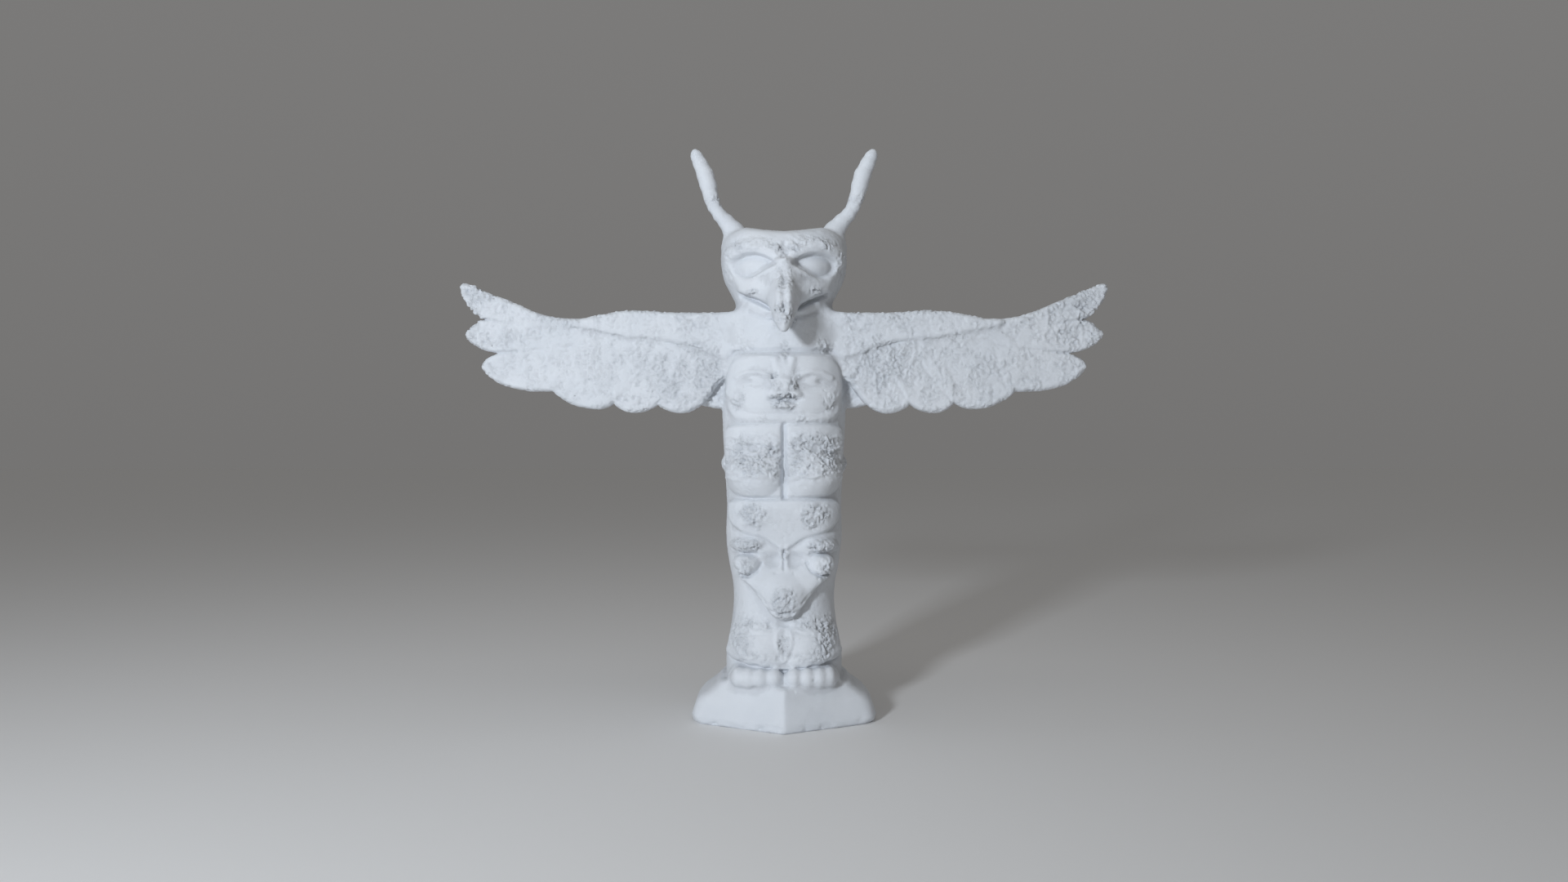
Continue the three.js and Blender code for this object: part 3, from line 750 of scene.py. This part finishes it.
# Rough patches on the pole's front: middle across and up, half width, half height, strength
ROUGH_PATCHES = [
    (11, 556, 10, 7, 2.0), (52, 562, 14, 9, 0.8), (30, 562, 50, 14, 0.45), (0, 549, 8, 13, 0.9),
    (70, 540, 14, 30, 0.6), (3, 515, 10, 28, 1.5), (5, 476, 12, 18, 1.8), (38, 506, 12, 4.5, 1.7),
    (0, 438, 9, 14, 1.6), (48, 444, 20, 14, 0.5), (13, 409, 9, 8, 1.5), (9, 396, 9, 8, 1.8),
    (0, 383, 20, 7, 3.0), (4, 373, 14, 8, 1.5), (52, 382, 13, 20, 0.9), (30, 358, 34, 5, 0.7),
    (32, 317, 46, 36, 1.4), (54, 322, 16, 24, 0.9), (8, 308, 8, 34, 1.1), (72, 306, 10, 14, 1.2),
    (34, 246, 20, 20, 2.1), (48, 250, 10, 12, 0.8), (45, 211, 22, 10, 2.7), (47, 189, 14, 11, 1.6),
    (48, 176, 12, 7, 2.2), (0, 199, 7, 8, 0.8), (0, 148, 19, 24, 2.4), (0, 131, 18, 9, 1.8),
    (50, 106, 20, 28, 1.3), (28, 122, 26, 12, 1.0), (36, 84, 36, 9, 0.8), (0, 97, 10, 28, 1.0),
]
ROUGH_X = (0, 80)
ROUGH_Z = (40, 600)
PATCH_FULLNESS = 1.5


def oval(x, z, middle, halves, fullness):
    """1 in the middle of an oval and 0 outside it; the fuller, the broader its middle."""
    away = np.hypot((x - middle[0]) / halves[0], (z - middle[1]) / halves[1])
    return ease(fullness - fullness * away)


pole_roughness = kept(
    lambda x, z: sum(
        strength * oval(x, z, (px, pz), (half_width, half_height), PATCH_FULLNESS)
        for px, pz, half_width, half_height, strength in ROUGH_PATCHES
    ),
    ROUGH_X, ROUGH_Z,
)

# Lines between the feathers, drawn on a wing's front and back
FEATHER_LINES = [
    [(262, 471), (295, 469.5), (320, 472.5), (366, 481)],
    [(255, 448), (300, 444.5), (326, 441), (349, 438.5)],
    [(203.5, 377), (185, 397), (166, 421), (158, 450)],
    [(151.5, 374), (137, 397), (127, 417), (119, 438)],
    [(272, 391), (262, 408), (256, 426)],
]
FEATHER_LINE_HALF_WIDTH = 3.6
feather_lines = kept(
    lambda x, z: sum(
        ease(1 - line_distance(x, z, line) / FEATHER_LINE_HALF_WIDTH) for line in FEATHER_LINES
    ),
    WING_X, WING_Z,
)


def inner_distance(x, z):
    """How far inside the wing's outline a place is."""
    outlines = [*PRIMARIES, *SECONDARIES, ARM_BAND]
    return -np.min([outline_distance(x, z, rounded(outline)) for outline in outlines], axis=0)


wing_rim = kept(inner_distance, WING_X, WING_Z)

# A wing's raised rim and slight cup: how far inside the outline, and how strong
RIM_INSIDE = 5
RIM_RISE = 0.7
CUP_INSIDE = (8, 22)
CUP_DEPTH = 0.6
FEATHER_LINE_DEPTH = 0.8


def wing_carving(x, z):
    """Creases between the feathers, a raised rim round them and a slight cup inside."""
    inside = wing_rim(x, z)
    rim = ease(1 - np.abs(inside - RIM_INSIDE) / RIM_INSIDE)
    cup = faded(inside, *CUP_INSIDE)
    return RIM_RISE * rim - CUP_DEPTH * cup - FEATHER_LINE_DEPTH * feather_lines(x, z)


# How rough a wing is all over, and where it is rougher or smoother
WING_ROUGHNESS = 0.7
ROOT_EXTRA = 0.7
ROOT_OVAL = ((108, 415), (62, 50), 1.3)
TIP_EXTRA = 0.5
TIP_FADE_X = (290, 370)
TIP_FADE_Z = (430, 470)
EDGE_EXTRA = 0.4
EDGE_FADE_Z = (470, 480)
SMOOTH_LOSS = 0.4
SMOOTH_OVAL = ((268, 452), (60, 20), 1.2)


def wing_grain(x, z):
    """How rough a wing is: most at its root, then at its tip and its upper edge."""
    root = ROOT_EXTRA * oval(x, z, *ROOT_OVAL)
    tip = TIP_EXTRA * (faded(x, *TIP_FADE_X) * faded(z, *TIP_FADE_Z))
    edge = EDGE_EXTRA * faded(z, *EDGE_FADE_Z)
    smooth = SMOOTH_LOSS * oval(x, z, *SMOOTH_OVAL)
    return WING_ROUGHNESS + root + tip + edge - smooth


# How rough the cast is elsewhere
LEAST_ROUGHNESS = 0.1
VARIED_ROUGHNESS = 0.16  # what the slow patches add to the least
ROUGH_RANGE = (0.5, 1.3)  # how far the slow patches change the rough places
BACK_SHARE = 0.45  # a wing's back compared with its front
HORN_RANGE = (0.08, 0.28)
BEND_ROUGHNESS = 0.7  # at the bend of the horns
BEND_HEIGHT = 626
BEND_HALF_HEIGHT = 9
BLOCK_ROUGHNESS = 0.05
# What counts as facing forward: its start and how quickly it grows
FRONT_START = 0.1
FRONT_GAIN = 1.6
# Where the skin of the horns, of the block and of the wings begins
HORN_SKIN = (588, 600)
BLOCK_SKIN = (BLOCK_TOP, BLOCK_TOP - 6)
WING_SKIN_X = (64, 80)
WING_SKIN_LOW = (360, 372)
WING_SKIN_HIGH = (540, 530)


def grain_strength(points, normals):
    """How rough the cast is at each point: little on the block and the smooth of the faces."""
    x, z = np.abs(points[:, 0]), points[:, 2]
    facing = ease(FRONT_START - normals[:, 1] * FRONT_GAIN)
    large = PATCH_CONTRAST * noise(points, *LARGE_PATCHES)
    small = PATCH_CONTRAST * noise(points, *SMALL_PATCHES)
    patches = ease(0.5 + large + small)
    in_patches = mix(*ROUGH_RANGE, patches)
    strength = LEAST_ROUGHNESS + VARIED_ROUGHNESS * patches
    strength = strength + pole_roughness(x, z) * facing * in_patches
    on_plate = wing_grain(x, z) * mix(BACK_SHARE, 1, facing) * in_patches
    strength = mix(strength, on_plate, on_wing(x, z))
    bend = BEND_ROUGHNESS * ease(1 - np.abs(z - BEND_HEIGHT) / BEND_HALF_HEIGHT)
    on_horn = mix(*HORN_RANGE, patches) + bend
    strength = mix(strength, on_horn, faded(z, *HORN_SKIN))
    return mix(strength, BLOCK_ROUGHNESS, faded(z, *BLOCK_SKIN))


def on_wing(x, z):
    return faded(x, *WING_SKIN_X) * faded(z, *WING_SKIN_LOW) * faded(z, *WING_SKIN_HIGH)


# The skin's lumps: soft ones and chips, which stand in and out of the surface alike
LUMP_DEPTH = 1.15
LUMP_SHARE = 0.35
COARSE_CHIP_SHARE = 0.7
CHIP_MEAN = 0.85
# Its pits, which leave the surface between them alone; the larger the ease, the fewer they are
PIT_DEPTH_SHARE = 1.8
FINE_PIT_SHARE = 0.4
PIT_EASE = 0.2
# The swell under both, on the pole and on a wing
SLOW_SHARE = 0.7
QUICK_SHARE = 0.6
SWELL_RANGE = (0.4, 0.7)
# What counts as the flat of a wing: its start and how quickly it grows
FLAT_START = 0.4
FLAT_GAIN = 1.5
# The nicks in the block's lower edge, with the underside left flat
NICK_DEPTH = 4.0
NICK_EASE = 0.1
NICKS_FADE_ABOVE = (12, 0)
NICKS_FADE_BELOW = (-1, 2)
FLAT_BELOW = 0.5


def roughened(points, normals):
    """The surface pushed in and out along its normals, most where the cast is rough."""
    x, z = np.abs(points[:, 0]), points[:, 2]
    wing = on_wing(x, z)
    coarse_chips = COARSE_CHIP_SHARE * flat_topped(points, *COARSE_CHIPS)
    chips = coarse_chips + flat_topped(points, *FINE_CHIPS) - CHIP_MEAN
    lumps = LUMP_SHARE * noise(points, *LUMPS) + chips
    fine_pits = FINE_PIT_SHARE * noise(points, *FINE_PITS)
    pits = np.minimum(noise(points, *COARSE_PITS) + fine_pits + PIT_EASE, 0)
    swell = SLOW_SHARE * noise(points, *SLOW_SWELL) + QUICK_SHARE * noise(points, *QUICK_SWELL)
    grain = LUMP_DEPTH * lumps + PIT_DEPTH_SHARE * pits
    push = grain_strength(points, normals) * grain + swell * mix(*SWELL_RANGE, wing)
    flat_of_wing = ease(np.abs(normals[:, 1]) * FLAT_GAIN - FLAT_START)
    push = push + wing_carving(x, z) * wing * flat_of_wing
    nicks = np.maximum(noise(points, *NICKS) + NICK_EASE, 0)
    nicks = nicks * faded(z, *NICKS_FADE_ABOVE) * faded(z, *NICKS_FADE_BELOW)
    push = np.where(z < FLAT_BELOW, 0, push - NICK_DEPTH * nicks)
    return points + normals * push[:, None]


def into_box(points):
    """Keeps the surface within the CAD model's box, where it reaches furthest."""
    low, high = np.array(cad_low) / UNIT, np.array(cad_high) / UNIT
    return np.clip(points, low + BOX_MARGIN, high - BOX_MARGIN)


def read_values(collection, name, width):
    values = np.empty(len(collection) * width, np.float32)
    collection.foreach_get(name, values)
    return values.reshape(-1, width)


SMOOTHINGS = 10
CREASE_DEPTH = 0.0022  # in metres


def hollows(mesh, points, normals):
    """How deep each point lies in a hollow, from -1 on a ridge to 1 in a crease."""
    edges = np.empty(len(mesh.edges) * 2, np.int32)
    mesh.edges.foreach_get("vertices", edges)
    a, b = edges.reshape(-1, 2).T
    ends, others = np.concatenate([a, b]), np.concatenate([b, a])
    neighbours = np.bincount(ends, minlength=len(points))
    smooth = points
    for _ in range(SMOOTHINGS):
        sums = [np.bincount(ends, smooth[others, k], len(points)) for k in range(3)]
        smooth = (sums / neighbours).T
    depth = ((smooth - points) * normals).sum(1)
    return np.clip(depth / CREASE_DEPTH, -1, 1)


def keep_values(mesh):
    """Gives the mesh what its material reads: how hollow and how rough it is at each point."""
    points = read_values(mesh.vertices, "co", 3)
    normals = read_values(mesh.vertex_normals, "vector", 3)
    values = {
        # How hollow each point is; the material paints shade into the creases from it
        "hollow": hollows(mesh, points, normals),
        "rough": grain_strength(points / UNIT, normals),
    }
    for name, amounts in values.items():
        attribute = mesh.attributes.new(name, "FLOAT", "POINT")
        attribute.data.foreach_set("value", amounts.astype(np.float32))


def cast_object():
    """The whole cast as one mesh, thinned to at most a set number of triangles."""
    points, quads = both_halves(*half_surface())
    points = into_box(roughened(points, quad_normals(points, quads)))
    mesh = bpy.data.meshes.new("totem_pole_cast")
    mesh.from_pydata(points * UNIT, [], quads)
    mesh.validate()
    mesh.shade_smooth()
    cast = bpy.data.objects.new("totem_pole_cast", mesh)
    bpy.context.scene.collection.objects.link(cast)
    triangles = 2 * len(quads)
    thin = cast.modifiers.new("thin", "DECIMATE")
    thin.ratio = min(MOST_TRIANGLES / triangles, 1)
    thin.use_collapse_triangulate = True
    evaluated = cast.evaluated_get(bpy.context.evaluated_depsgraph_get())
    cast.data = bpy.data.meshes.new_from_object(evaluated)
    cast.modifiers.clear()
    keep_values(cast.data)
    print("totem_pole_cast", triangles, "->", len(cast.data.polygons), "triangles")
    return cast


# The cast's tones, the painted shade in its creases and rough specks, and its dullness
DARKER_TONE = (0.68, 0.71, 0.75, 1)
LIGHTER_TONE = (0.745, 0.77, 0.805, 1)
TONE_PLACES = (0.3, 0.7)
# A grey that is painted into the creases and rough specks as painted shade
PAINTED_SHADE_TONE = (0.5, 0.515, 0.54, 1)
MOST_PAINTED_SHADE_IN_CREASES = 0.4
# How strong the painted shade is in the specks where the cast is rough
MOST_PAINTED_SHADE_IN_PORES = 0.22
DULLNESS = 0.88
SHINE = 0.3


def noise_texture(nodes, links, scale, detail, roughness=0.5):
    """A noise that is fixed to the cast; gives its grey output."""
    place = nodes.new("ShaderNodeTexCoord")
    texture = nodes.new("ShaderNodeTexNoise")
    texture.inputs["Scale"].default_value = scale
    texture.inputs["Detail"].default_value = detail
    texture.inputs["Roughness"].default_value = roughness
    links.new(place.outputs["Object"], texture.inputs["Vector"])
    return texture.outputs["Fac"]


def point_value(nodes, name):
    """One of the values that the mesh keeps for each point."""
    attribute = nodes.new("ShaderNodeAttribute")
    attribute.attribute_name = name
    return attribute.outputs["Fac"]


def mapped(nodes, links, value, source, target=(0, 1)):
    """A value moved from one range to another, and kept inside it."""
    node = nodes.new("ShaderNodeMapRange")
    node.inputs["From Min"].default_value = source[0]
    node.inputs["From Max"].default_value = source[1]
    node.inputs["To Min"].default_value = target[0]
    node.inputs["To Max"].default_value = target[1]
    links.new(value, node.inputs["Value"])
    return node.outputs["Result"]


def math_result(nodes, links, operation, *values):
    node = nodes.new("ShaderNodeMath")
    node.operation = operation
    for socket, value in zip(node.inputs, values):
        links.new(value, socket)
    return node.outputs["Value"]


def clouded_tone(nodes, links):
    """The cast's pale tone, which changes slowly from place to place."""
    tone = nodes.new("ShaderNodeValToRGB")
    darker, lighter = tone.color_ramp.elements
    darker.position, lighter.position = TONE_PLACES
    darker.color = DARKER_TONE
    lighter.color = LIGHTER_TONE
    links.new(noise_texture(nodes, links, scale=7, detail=6), tone.inputs["Fac"])
    return tone.outputs["Color"]


def painted_shade(nodes, links):
    """How much shade is painted at a place: in creases, and in specks where the cast is rough."""
    # Painted shade in the creases: the more hollow the surface is there, the greyer
    creases = mapped(nodes, links, point_value(nodes, "hollow"), (0.1, 1), (0, MOST_PAINTED_SHADE_IN_CREASES))
    # Painted shade in noise specks where the cast is rough, standing for the shade in its pits
    specks = noise_texture(nodes, links, scale=150, detail=4, roughness=0.7)
    pores = mapped(nodes, links, specks, (0.46, 0.34), (0, MOST_PAINTED_SHADE_IN_PORES))
    where_rough = mapped(nodes, links, point_value(nodes, "rough"), (0.5, 1.6))
    return math_result(nodes, links, "MULTIPLY_ADD", pores, where_rough, creases)


def sandy_bump(nodes, links):
    """The finest grain, which is stronger where the cast is rough."""
    grain = noise_texture(nodes, links, scale=260, detail=5, roughness=0.65)
    strength = mapped(nodes, links, point_value(nodes, "rough"), (0, 1.6), (0.12, 1.3))
    bump = nodes.new("ShaderNodeBump")
    bump.inputs["Strength"].default_value = 0.7
    bump.inputs["Distance"].default_value = 0.005
    links.new(math_result(nodes, links, "MULTIPLY", grain, strength), bump.inputs["Height"])
    return bump.outputs["Normal"]


def plaster():
    """Matt white cast, faintly blue, with painted shade in its creases and in specks where it is rough,
    and a fine sandy grain.
    """
    material = bpy.data.materials.new("white_cast")
    material.use_nodes = True
    nodes, links = material.node_tree.nodes, material.node_tree.links
    shader = nodes["Principled BSDF"]
    shader.inputs["Roughness"].default_value = DULLNESS
    shader.inputs["Specular IOR Level"].default_value = SHINE
    # Mixes the painted shade into the cast's tone
    shade_mix = nodes.new("ShaderNodeMix")
    shade_mix.data_type = "RGBA"
    shade_mix.inputs["B"].default_value = PAINTED_SHADE_TONE
    links.new(painted_shade(nodes, links), shade_mix.inputs["Factor"])
    links.new(clouded_tone(nodes, links), shade_mix.inputs["A"])
    links.new(shade_mix.outputs["Result"], shader.inputs["Base Color"])
    links.new(sandy_bump(nodes, links), shader.inputs["Normal"])
    return material


# Studio

CAMERA_DISTANCE = 1304 * UNIT
CAMERA_HEIGHT = 333 * UNIT
FIELD_OF_VIEW = 45  # upright, in degrees
SENSOR_WIDTH = 36
IMAGE_SHAPE = 1920 / 1080
HORIZON_TONE = (0.178, 0.175, 0.172, 1)
ZENITH_TONE = (0.235, 0.232, 0.228, 1)
CHEST_HEIGHT = 1.1  # in metres
FLOOR_HALF_WIDTH = 30
FLOOR_COLOR = (0.82, 0.815, 0.81, 1)


def camera():
    lens = bpy.data.cameras.new("camera")
    lens.sensor_width = SENSOR_WIDTH
    lens.lens = SENSOR_WIDTH / 2 / (IMAGE_SHAPE * math.tan(math.radians(FIELD_OF_VIEW / 2)))
    holder = bpy.data.objects.new("camera", lens)
    holder.location = (0, -CAMERA_DISTANCE, CAMERA_HEIGHT)
    holder.rotation_euler = (math.radians(90), 0, 0)
    bpy.context.scene.collection.objects.link(holder)
    bpy.context.scene.camera = holder


def lamp(name, azimuth, elevation, distance, width, watts, color):
    """A square lamp that looks at the object's chest from a compass angle left of the camera."""
    light = bpy.data.lights.new(name, "AREA")
    light.size = width
    light.energy = watts
    light.color = color
    holder = bpy.data.objects.new(name, light)
    a, e = math.radians(azimuth), math.radians(elevation)
    away = Vector((-math.sin(a) * math.cos(e), -math.cos(a) * math.cos(e), math.sin(e)))
    holder.location = Vector((0, 0, CHEST_HEIGHT)) + away * distance
    holder.rotation_euler = away.to_track_quat("Z", "Y").to_euler()
    bpy.context.scene.collection.objects.link(holder)


def floor():
    """A plain pale floor, wide enough to have no edge in the picture."""
    half = FLOOR_HALF_WIDTH
    mesh = bpy.data.meshes.new("floor")
    corners = [(-half, -half, 0), (half, -half, 0), (half, half, 0), (-half, half, 0)]
    mesh.from_pydata(corners, [], [(0, 1, 2, 3)])
    ground = bpy.data.objects.new("floor", mesh)
    bpy.context.scene.collection.objects.link(ground)
    material = bpy.data.materials.new("pale_floor")
    material.use_nodes = True
    shader = material.node_tree.nodes["Principled BSDF"]
    shader.inputs["Base Color"].default_value = FLOOR_COLOR
    shader.inputs["Roughness"].default_value = 1
    shader.inputs["Specular IOR Level"].default_value = 0
    mesh.materials.append(material)


def studio():
    """A soft grey surround, lighter above, with a key lamp from the left and a weak one above."""
    world = bpy.data.worlds.new("studio")
    world.use_nodes = True
    nodes, links = world.node_tree.nodes, world.node_tree.links
    direction = nodes.new("ShaderNodeTexCoord")
    parts = nodes.new("ShaderNodeSeparateXYZ")
    links.new(direction.outputs["Generated"], parts.inputs["Vector"])
    tone = nodes.new("ShaderNodeValToRGB")
    tone.color_ramp.elements[0].color = HORIZON_TONE
    tone.color_ramp.elements[1].color = ZENITH_TONE
    links.new(parts.outputs["Z"], tone.inputs["Fac"])
    links.new(tone.outputs["Color"], nodes["Background"].inputs["Color"])
    bpy.context.scene.world = world
    bpy.context.scene.view_settings.view_transform = "Standard"
    lamp("key", azimuth=26, elevation=11, distance=6.0, width=0.6, watts=225, color=(0.87, 0.93, 1.0))
    lamp("top", azimuth=0, elevation=78, distance=3.5, width=2.5, watts=12, color=(1.0, 0.985, 0.96))


cast = cast_object()
cast.data.materials.append(plaster())
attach(cast, "root")
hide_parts("totem_pole")
floor()
studio()
camera()
